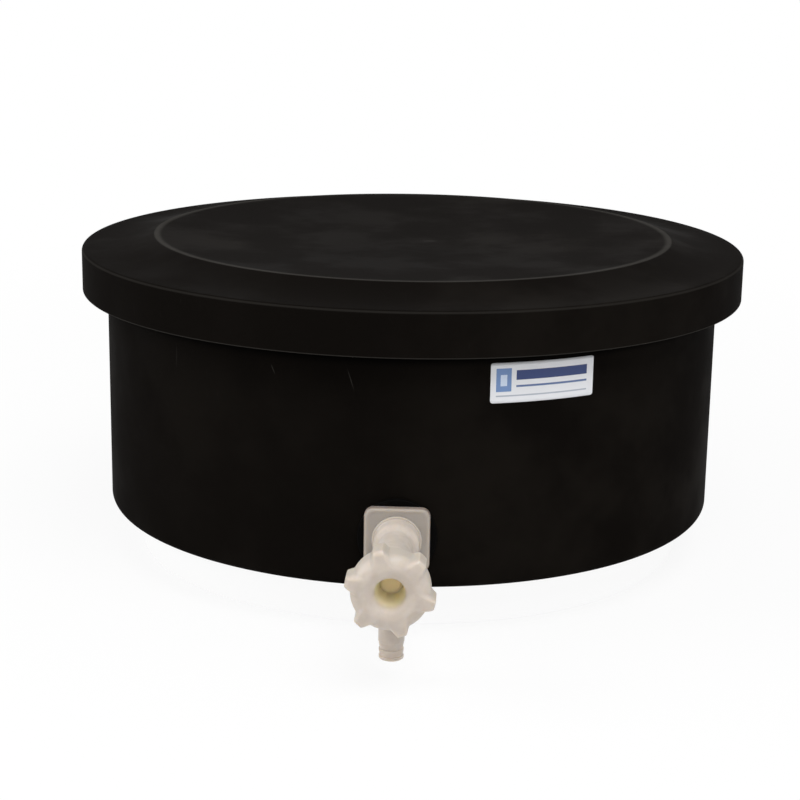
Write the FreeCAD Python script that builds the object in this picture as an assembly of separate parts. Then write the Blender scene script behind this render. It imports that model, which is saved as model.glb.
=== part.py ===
import FreeCAD, Part
import math
import os

# Shallow round tank with a drop-on cover and a screw-down spigot.
# Lengths in millimetres. The origin is the centre of the tank's flat underside, +Z is up,
# and the spigot points along -Y.

# Tank
tank_radius = 228.6
tank_wall = 4.8
tank_height = 189.3
base_corner_radius = 6.0
base_inner_corner_radius = 3.0
lip_overhang = 13.4
lip_depth = 9.0
lip_edge_wall = 3.6
lip_edge_round = 1.8

# Cover
cover_wall = 4.0
cover_fit_gap = 1.0
skirt_depth = 31.3
cover_edge_round = 2.6
cover_inner_round = 1.0
land_width = 9.0
ridge_radius = 193.5
ridge_height = 8.5
ridge_round = 1.0
dish_depth = 6.0

# Label on the wall
label_width = 75.0
label_height = 27.0
label_thickness = 0.3
label_glue_gap = 0.15
label_corner_radius = 1.7
label_top_below_skirt = 7.5
label_azimuth = 24.3

# Spigot axis and the hole for it
spigot_height = 37.0
wall_hole_gap = 0.5

# Gaskets and lock nut
outer_gasket_radius = 26.5
outer_gasket_thickness = 3.0
inner_gasket_radius = 20.0
inner_gasket_thickness = 2.5
gasket_bore_gap = 0.2
nut_across_flats = 36.0
nut_thickness = 10.0
nut_chamfer = 1.2
nut_thread_gap = 0.15

# Spigot body
shank_radius = 13.2
shank_end_past_nut = 3.0
inlet_bore_radius = 7.0
flange_width = 43.6
flange_thickness = 5.0
flange_corner_radius = 6.0
flange_edge_round = 0.8
flange_rim_width = 2.0
flange_rim_height = 0.4
bead_radius = 16.6
bead_length = 1.6
bead_step = 1.4
bead_round = 0.5
boss_length = 15.0
boss_tip_radius = 15.2
boss_round = 3.5
neck_radius = 11.4
neck_length = 31.0
barrel_radius = 13.7
barrel_length = 50.0
barrel_round = 1.6
barrel_end_chamfer = 0.6
thread_height = 1.0
thread_length = 19.0
chamber_radius = 11.2
seat_from_barrel = 6.0
seat_depth = 2.0

# Outlet with the hose barb
outlet_from_seat = 14.0
outlet_length = 55.3
outlet_radius = 8.3
outlet_bore_radius = 5.5
outlet_collar_radius = 10.4
outlet_collar_length = 5.0
barb_teeth = 3
barb_pitch = 4.6
barb_crest_radius = 7.9
barb_root_radius = 7.3
barb_land = 1.6
barb_tip_round = 1.0

# Knob with its plug
knob_from_barrel_end = -10.5
knob_depth = 19.2
knob_rim_radius = 25.0
knob_shoulder_radius = 23.8
knob_shoulder_depth = 15.8
knob_shoulder_round = 4.0
knob_rim_round = 0.8
knob_crest_radius = 16.0
knob_crest_round = 5.0
knob_dish_depth = 2.4
knob_mouth_radius = 9.8
knob_mouth_round = 1.5
knob_skin = 3.0
hub_wall = 2.7
hub_behind_rim = 1.5
thread_fit_gap = 0.15
knob_end_gap = 1.0
lug_count = 6
lug_first_angle = 46.0
lug_tip_radius = 28.4
lug_tip_width = 6.8
lug_root_width = 9.6
lug_round = 2.2
lug_side_depth = 17.5
lug_fade_radius = 17.0
recess_depth = 20.9
recess_end_radius = 7.4
recess_floor_radius = 5.9
recess_groove_depth = 1.2
plug_fit_gap = 0.2
stem_radius = 8.0
seat_gap = 0.3
piston_length = 20.0

# Ring seal on the plug
ring_section_radius = 1.3
ring_fit_gap = 0.05
ring_groove_side_gap = 0.3
ring_from_piston_end = 2.6

# Places that follow from the sizes above
tank_inner_radius = tank_radius - tank_wall
lip_radius = tank_radius + lip_overhang
skirt_inner_radius = lip_radius + cover_fit_gap
skirt_radius = skirt_inner_radius + cover_wall
land_top = tank_height + cover_wall
skirt_bottom = land_top - skirt_depth
ridge_top = land_top + ridge_height

# Stations along the spigot's axis, measured outwards from the tank's outer wall
inner_gasket_face = -tank_wall - inner_gasket_thickness
nut_end = inner_gasket_face - nut_thickness
shank_end = nut_end - shank_end_past_nut
flange_back = outer_gasket_thickness
flange_face = flange_back + flange_thickness
boss_end = flange_face + boss_length
barrel_start = boss_end + neck_length
barrel_end = barrel_start + barrel_length
seat_station = barrel_start + seat_from_barrel
chamber_start = seat_station + seat_depth
outlet_station = seat_station + outlet_from_seat
thread_radius = barrel_radius + thread_height
knob_back = barrel_end + knob_from_barrel_end
knob_front = knob_back + knob_depth
knob_mouth = knob_front - knob_dish_depth
hub_back = knob_back - hub_behind_rim
knob_inside_end = barrel_end + knob_end_gap
hub_inner_radius = thread_radius + thread_fit_gap
hub_radius = hub_inner_radius + hub_wall
plug_radius = chamber_radius - plug_fit_gap
piston_start = knob_inside_end - piston_length
ring_centre_radius = chamber_radius - ring_fit_gap - ring_section_radius
ring_groove_radius = ring_centre_radius - ring_section_radius - ring_fit_gap
ring_groove_half_width = ring_section_radius + ring_groove_side_gap
ring_station = piston_start + ring_from_piston_end

UP = FreeCAD.Vector(0, 0, 1)
ORIGIN = FreeCAD.Vector(0, 0, 0)


def profile_point(radius, height):
    return FreeCAD.Vector(radius, 0, height)


def revolved(points):
    """Turn a closed outline of (radius, height) points about the Z axis."""
    corners = [profile_point(radius, height) for radius, height in points]
    outline = Part.makePolygon(corners + [corners[0]])
    return Part.Face(outline).revolve(ORIGIN, UP, 360)


def cylinder(radius, start, end):
    return Part.makeCylinder(radius, end - start, FreeCAD.Vector(0, 0, start))


def ring_edges(shape, radius, height):
    """The circular edges about the Z axis with this radius at this height."""
    found = []
    for edge in shape.Edges:
        if edge.Degenerated or not isinstance(edge.Curve, Part.Circle):
            continue
        curve = edge.Curve
        same_radius = abs(curve.Radius - radius) < 0.01
        same_height = abs(curve.Center.z - height) < 0.01
        centred = math.hypot(curve.Center.x, curve.Center.y) < 0.01
        if same_radius and same_height and centred:
            found.append(edge)
    return found


def rounded(shape, size, places):
    """Round the circular edges at the given (radius, height) places."""
    edges = []
    for radius, height in places:
        edges += ring_edges(shape, radius, height)
    return shape.makeFillet(size, edges)


def rounded_rectangle(width, height, corner):
    """A flat face in the XY plane, centred on the origin, with round corners."""
    sheet = Part.makeBox(width, height, 1, FreeCAD.Vector(-width / 2, -height / 2, 0))
    upright = [edge for edge in sheet.Edges if abs(edge.tangentAt(edge.FirstParameter).z) > 0.99]
    block = sheet.makeFillet(corner, upright)
    return min(block.Faces, key=lambda face: face.CenterOfMass.z)


def place_on_wall(shape):
    """Move a spigot piece from its own axes (+Z outwards, +Y up) to the tank's wall."""
    placed = shape.copy()
    placed.rotate(ORIGIN, FreeCAD.Vector(1, 0, 0), 90)
    placed.translate(FreeCAD.Vector(0, -tank_radius, spigot_height))
    return placed


def wall_curve(radius):
    """The tank's wall as a solid in the spigot's own axes, for cutting what lies on it."""
    length = 4 * outer_gasket_radius
    centre = FreeCAD.Vector(0, -length / 2, -tank_radius)
    return Part.makeCylinder(radius, length, centre, FreeCAD.Vector(0, 1, 0))


def make_tank_body():
    lip_underside = tank_height - tank_wall
    lip_bottom = tank_height - lip_depth
    body = revolved([
        (0, 0),
        (tank_radius, 0),
        (tank_radius, lip_underside),
        (lip_radius - lip_edge_wall, lip_underside),
        (lip_radius - lip_edge_wall, lip_bottom),
        (lip_radius, lip_bottom),
        (lip_radius, tank_height),
        (tank_inner_radius, tank_height),
        (tank_inner_radius, tank_wall),
        (0, tank_wall),
    ])
    body = rounded(body, base_corner_radius, [(tank_radius, 0)])
    body = rounded(body, base_inner_corner_radius, [(tank_inner_radius, tank_wall)])
    body = rounded(body, lip_edge_round, [(lip_radius, tank_height), (tank_radius, lip_underside)])
    hole = place_on_wall(cylinder(shank_radius + wall_hole_gap, -3 * tank_wall, tank_wall))
    return body.cut(hole)


def circles_meet(centre_a, radius_a, centre_b, radius_b):
    """The lower of the two points where two circles in the profile plane cross."""
    line = centre_b - centre_a
    distance = line.Length
    along = (radius_a**2 - radius_b**2 + distance**2) / (2 * distance)
    aside = math.sqrt(radius_a**2 - along**2)
    foot = centre_a + line * (along / distance)
    across = FreeCAD.Vector(-line.z, 0, line.x) * (aside / distance)
    return min(foot + across, foot - across, key=lambda point: point.z)


def towards(start, target, distance):
    """The point at this distance from start on the line to target."""
    return start + (target - start).normalize() * distance


def arc_about(centre, start, end):
    """The shorter arc about a centre between two points at the same distance from it."""
    half_way = centre + (start - centre).normalize() + (end - centre).normalize()
    middle = towards(centre, half_way, (start - centre).Length)
    return Part.Arc(start, middle, end).toShape()


def cover_outline(depth, ridge_rounding):
    """Outer line of the cover, or the line lying depth below it, from the centre to the hem.

    The dish and the cove are two arcs, both hollow upwards, that meet in the ridge.
    """
    cove_edge = skirt_radius - land_width
    cove_run = cove_edge - ridge_radius
    cove_radius = (cove_run**2 + ridge_height**2) / (2 * ridge_height)
    dish_radius = (ridge_radius**2 + dish_depth**2) / (2 * dish_depth)
    dish_centre = profile_point(0, ridge_top - dish_depth + dish_radius)
    cove_centre = profile_point(cove_edge, land_top + cove_radius)
    ridge = circles_meet(dish_centre, dish_radius + depth + ridge_rounding,
                         cove_centre, cove_radius + depth + ridge_rounding)
    start = dish_centre - UP * (dish_radius + depth)
    dish_end = towards(dish_centre, ridge, dish_radius + depth)
    cove_start = towards(cove_centre, ridge, cove_radius + depth)
    cove_foot = profile_point(cove_edge, land_top - depth)
    corner = profile_point(skirt_radius - depth, land_top - depth)
    hem = profile_point(skirt_radius - depth, skirt_bottom)
    edges = [arc_about(dish_centre, start, dish_end)]
    if ridge_rounding > 0:
        edges.append(arc_about(ridge, dish_end, cove_start))
    edges.append(arc_about(cove_centre, cove_start, cove_foot))
    edges.append(Part.makeLine(cove_foot, corner))
    edges.append(Part.makeLine(corner, hem))
    return edges


def make_cover():
    outer = cover_outline(0, ridge_round)
    inner = cover_outline(cover_wall, 0)
    start_line = Part.makeLine(inner[0].Vertexes[0].Point, outer[0].Vertexes[0].Point)
    hem_line = Part.makeLine(outer[-1].Vertexes[-1].Point, inner[-1].Vertexes[-1].Point)
    outline = Part.Wire(Part.__sortEdges__(outer + inner + [start_line, hem_line]))
    cover = Part.Face(outline).revolve(ORIGIN, UP, 360)
    cover = rounded(cover, cover_edge_round, [(skirt_radius, land_top)])
    return rounded(cover, cover_inner_round, [(skirt_inner_radius, tank_height)])


def make_label():
    """A thin sheet that follows the wall: a ring of the wall's curve cut to the label's outline."""
    middle = skirt_bottom - label_top_below_skirt - label_height / 2
    bottom = FreeCAD.Vector(0, 0, middle - label_height)
    back_radius = tank_radius + label_glue_gap
    sheet = Part.makeCylinder(back_radius + label_thickness, 2 * label_height, bottom)
    sheet = sheet.cut(Part.makeCylinder(back_radius, 2 * label_height, bottom))
    half_angle = label_width / 2 / tank_radius
    chord = 2 * tank_radius * math.sin(half_angle)
    cutter = rounded_rectangle(chord, label_height, label_corner_radius)
    cutter = cutter.extrude(FreeCAD.Vector(0, 0, 2 * tank_radius))
    cutter.rotate(ORIGIN, FreeCAD.Vector(1, 0, 0), 90)
    cutter.translate(FreeCAD.Vector(0, 0, middle))
    label = sheet.common(cutter)
    label.rotate(ORIGIN, UP, label_azimuth)
    return label


def make_outer_gasket():
    disc = cylinder(outer_gasket_radius, -tank_wall, flange_back)
    disc = disc.cut(cylinder(shank_radius + gasket_bore_gap, -2 * tank_wall, flange_face))
    return place_on_wall(disc.cut(wall_curve(tank_radius)))


def make_inner_gasket():
    disc = cylinder(inner_gasket_radius, inner_gasket_face, 0)
    disc = disc.cut(cylinder(shank_radius + gasket_bore_gap, nut_end, tank_wall))
    return place_on_wall(disc.common(wall_curve(tank_inner_radius)))


def make_lock_nut():
    """Six-sided nut whose corners are turned back by a cone at both faces."""
    corner_radius = nut_across_flats / 2 / math.cos(math.pi / 6)
    corners = []
    for index in range(7):
        angle = index * math.pi / 3
        corners.append(FreeCAD.Vector(corner_radius * math.cos(angle), corner_radius * math.sin(angle), nut_end))
    block = Part.Face(Part.makePolygon(corners)).extrude(FreeCAD.Vector(0, 0, nut_thickness))
    barrel = cylinder(corner_radius, nut_end, inner_gasket_face)
    barrel = barrel.makeChamfer(nut_chamfer, [edge for edge in barrel.Edges if isinstance(edge.Curve, Part.Circle)])
    bore = cylinder(shank_radius + nut_thread_gap, nut_end, inner_gasket_face)
    return place_on_wall(block.common(barrel).cut(bore))


def make_flange():
    """Square plate with round corners and a thin raised rim round its front."""
    plate = rounded_rectangle(flange_width, flange_width, flange_corner_radius)
    plate = plate.extrude(FreeCAD.Vector(0, 0, flange_thickness + flange_rim_height))
    plate.translate(FreeCAD.Vector(0, 0, flange_back))
    front = flange_face + flange_rim_height
    outer_edges = [edge for edge in plate.Edges if edge.BoundBox.ZMin > front - 0.01]
    plate = plate.makeFillet(flange_edge_round, outer_edges)
    inside = flange_width - 2 * flange_rim_width
    hollow = rounded_rectangle(inside, inside, flange_corner_radius - flange_rim_width)
    hollow = hollow.extrude(FreeCAD.Vector(0, 0, flange_thickness))
    hollow.translate(FreeCAD.Vector(0, 0, flange_face))
    return plate.cut(hollow)


def make_spigot_trunk():
    """Shank, boss, neck and threaded barrel, turned as one outline."""
    boss_start = flange_face + bead_length
    thread_start = barrel_end - thread_length
    trunk = revolved([
        (0, shank_end),
        (shank_radius, shank_end),
        (shank_radius, flange_back),
        (bead_radius, flange_back),
        (bead_radius, boss_start),
        (bead_radius - bead_step, boss_start),
        (boss_tip_radius, boss_end),
        (neck_radius, boss_end),
        (neck_radius, barrel_start),
        (barrel_radius, barrel_start),
        (barrel_radius, thread_start),
        (thread_radius, thread_start),
        (thread_radius, barrel_end),
        (0, barrel_end),
    ])
    trunk = rounded(trunk, boss_round, [(boss_tip_radius, boss_end)])
    trunk = rounded(trunk, barrel_round, [(barrel_radius, barrel_start)])
    trunk = rounded(trunk, bead_round, [(bead_radius, boss_start)])
    return trunk.makeChamfer(barrel_end_chamfer, ring_edges(trunk, thread_radius, barrel_end))


def make_outlet():
    """Outlet tube with the hose barb, turned along +Z and then pointed down from the barrel.

    Each tooth narrows towards the tip, so a hose slides on and its end catches on the step.
    """
    tip_crest = outlet_length - barb_tip_round - barb_land
    barb_start = tip_crest - (barb_teeth - 1) * barb_pitch
    outline = [(0, 0), (outlet_collar_radius, 0)]
    outline.append((outlet_collar_radius, barrel_radius))
    outline.append((outlet_radius, barrel_radius + outlet_collar_length))
    outline.append((outlet_radius, barb_start))
    for tooth in range(barb_teeth - 1):
        crest = barb_start + tooth * barb_pitch
        outline.append((barb_crest_radius, crest))
        outline.append((barb_crest_radius, crest + barb_land))
        outline.append((barb_root_radius, crest + barb_pitch))
    outline.append((barb_crest_radius, tip_crest))
    outline.append((barb_crest_radius, outlet_length))
    outline.append((0, outlet_length))
    outlet = revolved(outline)
    outlet = rounded(outlet, barb_tip_round, [(barb_crest_radius, outlet_length)])
    outlet.rotate(ORIGIN, FreeCAD.Vector(1, 0, 0), 90)
    outlet.translate(FreeCAD.Vector(0, 0, outlet_station))
    return outlet


def make_spigot_passages():
    """Everything that is open inside the spigot: inlet bore, seat, chamber and outlet bore."""
    inside = revolved([
        (0, shank_end),
        (inlet_bore_radius, shank_end),
        (inlet_bore_radius, seat_station),
        (inlet_bore_radius + seat_depth, chamber_start),
        (chamber_radius, chamber_start),
        (chamber_radius, barrel_end),
        (0, barrel_end),
    ])
    outlet = Part.makeCylinder(outlet_bore_radius, outlet_length,
                               FreeCAD.Vector(0, 0, outlet_station), FreeCAD.Vector(0, -1, 0))
    return inside.fuse(outlet)


def make_spigot_body():
    solid = make_spigot_trunk().fuse([make_flange(), make_outlet()])
    return place_on_wall(solid.cut(make_spigot_passages()))


def make_knob_shell():
    """Body of the knob: a round crest in front, hollow inside it towards the mouth of the recess."""
    shoulder = knob_back + knob_shoulder_depth
    dish_slope = knob_dish_depth / (knob_crest_radius - knob_mouth_radius)
    shell = revolved([
        (0, knob_back),
        (knob_rim_radius, knob_back),
        (knob_shoulder_radius, shoulder),
        (knob_crest_radius, knob_front),
        (recess_end_radius, knob_front - (knob_crest_radius - recess_end_radius) * dish_slope),
        (0, knob_front - (knob_crest_radius - recess_end_radius) * dish_slope),
    ])
    shell = rounded(shell, knob_shoulder_round, [(knob_shoulder_radius, shoulder)])
    shell = rounded(shell, knob_crest_round, [(knob_crest_radius, knob_front)])
    return rounded(shell, knob_rim_round, [(knob_rim_radius, knob_back)])


def make_lug():
    """One grip rib: a wedge that narrows outwards and fades into the knob's front."""
    shoulder = knob_back + knob_shoulder_depth
    front_slope = (knob_front - shoulder) / (knob_shoulder_radius - knob_crest_radius)
    root_corner_radius = math.hypot(lug_fade_radius, lug_root_width / 2)
    fade_end = knob_front - (root_corner_radius - knob_crest_radius) * front_slope
    side = [
        profile_point(lug_fade_radius, knob_back),
        profile_point(lug_tip_radius, knob_back),
        profile_point(lug_tip_radius, knob_back + lug_side_depth),
        profile_point(lug_fade_radius, fade_end),
    ]
    slab = Part.Face(Part.makePolygon(side + [side[0]]))
    slab.translate(FreeCAD.Vector(0, -lug_root_width / 2, 0))
    slab = slab.extrude(FreeCAD.Vector(0, lug_root_width, 0))
    plan = [
        FreeCAD.Vector(lug_fade_radius, -lug_root_width / 2, knob_back),
        FreeCAD.Vector(lug_tip_radius, -lug_tip_width / 2, knob_back),
        FreeCAD.Vector(lug_tip_radius, lug_tip_width / 2, knob_back),
        FreeCAD.Vector(lug_fade_radius, lug_root_width / 2, knob_back),
    ]
    wedge = Part.Face(Part.makePolygon(plan + [plan[0]])).extrude(UP * knob_depth)
    rib = slab.common(wedge)
    outside = [edge for edge in rib.Edges
               if edge.CenterOfMass.x > lug_fade_radius + 1 and edge.CenterOfMass.z > knob_back + 0.1]
    return rib.makeFillet(lug_round, outside)


def make_knob_plug():
    """Stem and piston behind the knob's face, with the groove for the ring seal."""
    nose_end = seat_station + stem_radius - inlet_bore_radius + seat_gap * math.sqrt(2)
    nose_radius = inlet_bore_radius - seat_gap * math.sqrt(2)
    plug = revolved([
        (0, seat_station),
        (nose_radius, seat_station),
        (stem_radius, nose_end),
        (stem_radius, piston_start),
        (plug_radius, piston_start),
        (plug_radius, knob_inside_end + knob_skin),
        (0, knob_inside_end + knob_skin),
    ])
    groove = revolved([
        (ring_groove_radius, ring_station - ring_groove_half_width),
        (2 * plug_radius, ring_station - ring_groove_half_width),
        (2 * plug_radius, ring_station + ring_groove_half_width),
        (ring_groove_radius, ring_station + ring_groove_half_width),
    ])
    return plug.cut(groove)


def make_recess():
    """The open recess in the knob's front, for cutting, with a narrow groove round its floor."""
    taper = (knob_mouth_radius - recess_end_radius) / recess_depth
    floor = knob_mouth - recess_depth
    return revolved([
        (0, floor),
        (recess_floor_radius, floor),
        (recess_floor_radius, floor - recess_groove_depth),
        (recess_end_radius, floor - recess_groove_depth),
        (recess_end_radius, floor),
        (knob_mouth_radius + taper * knob_dish_depth, knob_front),
        (0, knob_front),
    ])


def make_knob():
    """Hand knob: ribbed body, threaded hub over the barrel, and hollow plug, moulded in one."""
    knob = make_knob_shell()
    lugs = []
    for index in range(lug_count):
        lug = make_lug()
        lug.rotate(ORIGIN, UP, lug_first_angle + index * 360 / lug_count)
        lugs.append(lug)
    hub = cylinder(hub_radius, hub_back, knob_inside_end)
    knob = knob.fuse(lugs + [hub])
    pocket_floor = knob_inside_end - knob_skin
    pocket = revolved([
        (hub_radius, hub_back),
        (knob_rim_radius - knob_skin, hub_back),
        (knob_rim_radius - knob_skin, knob_back),
        (knob_shoulder_radius - knob_skin, pocket_floor),
        (hub_radius, pocket_floor),
    ])
    thread_bore = cylinder(hub_inner_radius, hub_back, knob_inside_end)
    knob = knob.cut([pocket, thread_bore]).fuse(make_knob_plug())
    knob = knob.cut(make_recess()).removeSplitter()
    return place_on_wall(rounded(knob, knob_mouth_round, [(knob_mouth_radius, knob_mouth)]))


def make_stem_o_ring():
    ring = Part.makeTorus(ring_centre_radius, ring_section_radius)
    ring.translate(FreeCAD.Vector(0, 0, ring_station))
    return place_on_wall(ring)


def export_all():
    os.makedirs("parts", exist_ok=True)
    pieces = {
        "tank_body": make_tank_body,
        "cover": make_cover,
        "label": make_label,
        "spigot_body": make_spigot_body,
        "outer_gasket": make_outer_gasket,
        "inner_gasket": make_inner_gasket,
        "lock_nut": make_lock_nut,
        "knob": make_knob,
        "stem_o_ring": make_stem_o_ring,
    }
    for name, make in pieces.items():
        solid = make()
        solid.exportStep(os.path.join("parts", name + ".step"))
        box = solid.optimalBoundingBox()
        print(name, "solids", len(solid.Solids), "valid", solid.isValid(), "volume", round(solid.Volume),
              "x", round(box.XMin, 2), round(box.XMax, 2), "y", round(box.YMin, 2), round(box.YMax, 2),
              "z", round(box.ZMin, 2), round(box.ZMax, 2))


export_all()
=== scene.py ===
# %% [markdown]
# # A shallow round tank with a drop-on cover and a screw-down spigot
#
# The object is a black polyethylene tank, 457 mm across, with a loose cover that overhangs its
# rim. A white spigot is screwed through the wall near the base: a square flange, a neck, a
# threaded barrel, a hose barb that points down, and a ribbed hand knob with a deep round recess.
# A small printed label is stuck to the wall. This lesson dresses the measured solids of that
# object: it makes smooth surfaces of the same form, gives them their finishes, and sets up a
# plain studio. Lengths are in metres, +Z is up and the spigot points along -Y.

# %% Load the measured model
import bpy
import math
import numpy as np
from mathutils import Matrix, Vector


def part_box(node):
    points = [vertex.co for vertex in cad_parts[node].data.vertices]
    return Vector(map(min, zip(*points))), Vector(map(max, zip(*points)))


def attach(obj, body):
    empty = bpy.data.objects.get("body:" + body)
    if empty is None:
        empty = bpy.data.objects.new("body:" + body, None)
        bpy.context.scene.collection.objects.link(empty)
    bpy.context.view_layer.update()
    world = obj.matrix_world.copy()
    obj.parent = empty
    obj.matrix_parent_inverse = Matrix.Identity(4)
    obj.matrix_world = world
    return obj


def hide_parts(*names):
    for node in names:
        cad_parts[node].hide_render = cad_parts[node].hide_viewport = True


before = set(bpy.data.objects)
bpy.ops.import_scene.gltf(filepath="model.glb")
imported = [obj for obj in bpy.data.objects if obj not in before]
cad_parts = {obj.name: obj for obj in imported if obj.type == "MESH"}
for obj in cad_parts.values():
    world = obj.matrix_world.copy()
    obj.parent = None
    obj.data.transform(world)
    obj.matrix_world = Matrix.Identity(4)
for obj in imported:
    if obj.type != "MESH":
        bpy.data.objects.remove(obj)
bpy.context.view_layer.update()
MM = 0.001

# %% [markdown]
# ## The camera
#
# A camera is easiest to match first, while nothing else distracts. The picture was taken with a
# long lens from about 1.4 m in front and 15 degrees above, slightly to the right of the spigot's
# axis, and the camera was tilted by about one degree. Yaw, pitch and roll are turned into three
# unit vectors (right, up, backwards), which are the columns of the camera's matrix.

# %% Camera
CAMERA_PLACE = Vector((42.5, -1430.4, 445.9)) * MM
CAMERA_YAW = math.radians(-2.007)
CAMERA_PITCH = math.radians(14.703)
CAMERA_ROLL = math.radians(0.933)
CAMERA_LENS = 86.2


def camera_axes(yaw, pitch, roll):
    """Right, up and backward unit vectors: forward points yaw from +Y and pitch below level."""
    level = math.cos(pitch)
    forward = Vector((math.sin(yaw) * level, math.cos(yaw) * level, -math.sin(pitch)))
    side = forward.cross(Vector((0, 0, 1))).normalized()
    top = side.cross(forward)
    right = side * math.cos(roll) + top * math.sin(roll)
    up = top * math.cos(roll) - side * math.sin(roll)
    return right, up, -forward


camera = bpy.data.objects.new("camera", bpy.data.cameras.new("camera"))
bpy.context.scene.collection.objects.link(camera)
camera.data.lens = CAMERA_LENS
camera.data.sensor_width = 36
turn = Matrix(camera_axes(CAMERA_YAW, CAMERA_PITCH, CAMERA_ROLL)).transposed()
camera.matrix_world = Matrix.Translation(CAMERA_PLACE) @ turn.to_4x4()
bpy.context.scene.camera = camera
print("camera", [round(value, 3) for value in camera.location])

# %% [markdown]
# ## Sizes
#
# The measured model says how large the real pieces are, so the main sizes are read from its
# boxes and only the small ones (walls, roundings, steps) are written here. Each stands once.

# %% Sizes of the tank and its cover
tank_low, tank_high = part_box("tank_body")
cover_low, cover_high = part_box("cover")

lip_radius = tank_high.x
tank_height = tank_high.z
tank_wall = 4.8 * MM
lip_overhang = 13.4 * MM
lip_depth = 9.0 * MM
lip_edge_wall = 3.6 * MM
lip_edge_round = 1.8 * MM
base_corner_radius = 6.0 * MM
lip_root_round = 0.4 * MM
lip_end_round = 0.5 * MM
mouth_round = 1.0 * MM
base_inner_corner_radius = 3.0 * MM
tank_radius = lip_radius - lip_overhang

skirt_radius = cover_high.x
skirt_bottom = cover_low.z
ridge_top = cover_high.z
cover_wall = 4.0 * MM
land_top = tank_height + cover_wall
land_width = 9.0 * MM
cover_edge_round = 2.6 * MM
hem_round = 0.7 * MM
skirt_inner_round = 1.0 * MM
ridge_radius = 193.5 * MM
dish_depth = 6.0 * MM
ridge_softness = 0.30 * MM
print("tank radius", round(tank_radius / MM, 2), "skirt radius", round(skirt_radius / MM, 2))

# %% [markdown]
# ## A few helpers
#
# Every new piece is a grid of points: stations along an outline, and columns round the piece.
# One function turns such a grid into a closed mesh. Two more make outlines: corners become
# tangent arcs, and long straight runs get points in between.

# %% Helper: close a grid of points into a mesh
def add_piece(name, points, faces):
    mesh = bpy.data.meshes.new(name)
    mesh.from_pydata(points.tolist(), [], faces)
    mesh.update()
    piece = bpy.data.objects.new(name, mesh)
    bpy.context.scene.collection.objects.link(piece)
    return piece


def quads_between(rows, columns, ring):
    """Four corners of every cell: (i, j), (i, j+1), (i+1, j+1), (i+1, j), with columns wrapping."""
    i = np.arange(rows if ring else rows - 1)[:, None]
    j = np.arange(columns)[None, :]
    next_row = (i + 1) % rows * columns
    next_column = (j + 1) % columns
    cells = [i * columns + j, i * columns + next_column, next_row + next_column, next_row + j]
    return np.stack(cells, axis=-1).reshape(-1, 4)


def volume_of(points, quads):
    """Sum of a . (b x c) / 6 over both triangles of each cell: negative when inside out."""
    a, b, c, d = (points[quads[:, k]] for k in range(4))
    return (np.einsum("ij,ij", a, np.cross(b, c)) + np.einsum("ij,ij", a, np.cross(c, d))) / 6


def skin(name, grid, ring=False):
    """Close a grid into a mesh whose faces point outwards.

    grid[i, j] is station i of the outline at column j round the piece. Columns wrap round. On a
    ring the stations wrap too; otherwise the first and the last station are single points, the
    poles, and triangles fan out from them.
    """
    rows, columns = grid.shape[:2]
    points = grid.reshape(-1, 3)
    quads = quads_between(rows, columns, ring)
    inside_out = volume_of(points, quads) < 0
    if ring:
        faces = quads[:, ::-1] if inside_out else quads
        return add_piece(name, points, faces.tolist())
    quads = quads_between(rows - 2, columns, False)
    points = np.vstack([grid[1:-1].reshape(-1, 3), grid[0, :1], grid[-1, :1]])
    pole = np.full(columns, (rows - 2) * columns)
    last_row = (rows - 3) * columns
    here = np.arange(columns)
    beside = (here + 1) % columns
    top = np.stack([pole, beside, here], axis=1)
    bottom = np.stack([pole + 1, last_row + here, last_row + beside], axis=1)
    fans = np.vstack([top, bottom])
    if inside_out:
        quads, fans = quads[:, ::-1], fans[:, ::-1]
    return add_piece(name, points, quads.tolist() + fans.tolist())


# %% Helper: outlines
def rounded_line(corners, arc_step=math.radians(7)):
    """A line through (radius, height, rounding) corners, each replaced by a tangent arc.

    Where the first and the last corner are rounded too, the line is a loop.

    A corner that turns by t gives up rounding * tan(t / 2) of both its sides, and the arc's
    centre lies on the bisector at rounding / cos(t / 2). Points on the arc are the spherical
    blend sin((1 - k) t) * first + sin(k t) * last, over sin(t).
    """
    places = [np.array(corner[:2], float) for corner in corners]
    roundings = [corner[2] if len(corner) > 2 else 0 for corner in corners]
    count = len(corners)
    line = []
    for index, (corner, rounding) in enumerate(zip(places, roundings)):
        if rounding == 0:
            line.append(corner[None, :])
            continue
        back = places[index - 1] - corner
        ahead = places[(index + 1) % count] - corner
        back /= np.linalg.norm(back)
        ahead /= np.linalg.norm(ahead)
        angle = math.pi - math.acos(back @ ahead)
        middle = (back + ahead) / np.linalg.norm(back + ahead)
        centre = corner + middle * rounding / math.cos(angle / 2)
        first = corner + back * rounding * math.tan(angle / 2) - centre
        last = corner + ahead * rounding * math.tan(angle / 2) - centre
        k = np.linspace(0, 1, 1 + max(2, math.ceil(angle / arc_step)))[:, None]
        blend = np.sin((1 - k) * angle) * first + np.sin(k * angle) * last
        line.append(centre + blend / math.sin(angle))
    return np.vstack(line)


def filled_in(line, step, closed=False):
    """The same line with extra points, so that no stretch is longer than step."""
    ends = np.vstack([line, line[:1]]) if closed else line
    runs = []
    for start, end in zip(ends, ends[1:]):
        pieces = max(1, math.ceil(np.linalg.norm(end - start) / step))
        runs.append(np.linspace(start, end, pieces, endpoint=False))
    points = np.vstack(runs)
    return points if closed else np.vstack([points, line[-1:]])


def turned(outline, columns):
    """Carry an outline round the Z axis: x = r cos a, y = r sin a, z = height."""
    angle = np.arange(columns) * 2 * math.pi / columns
    radius = outline[:, :1]
    height = np.repeat(outline[:, 1:2], columns, axis=1)
    return np.stack([radius * np.cos(angle), radius * np.sin(angle), height], axis=-1)


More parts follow.
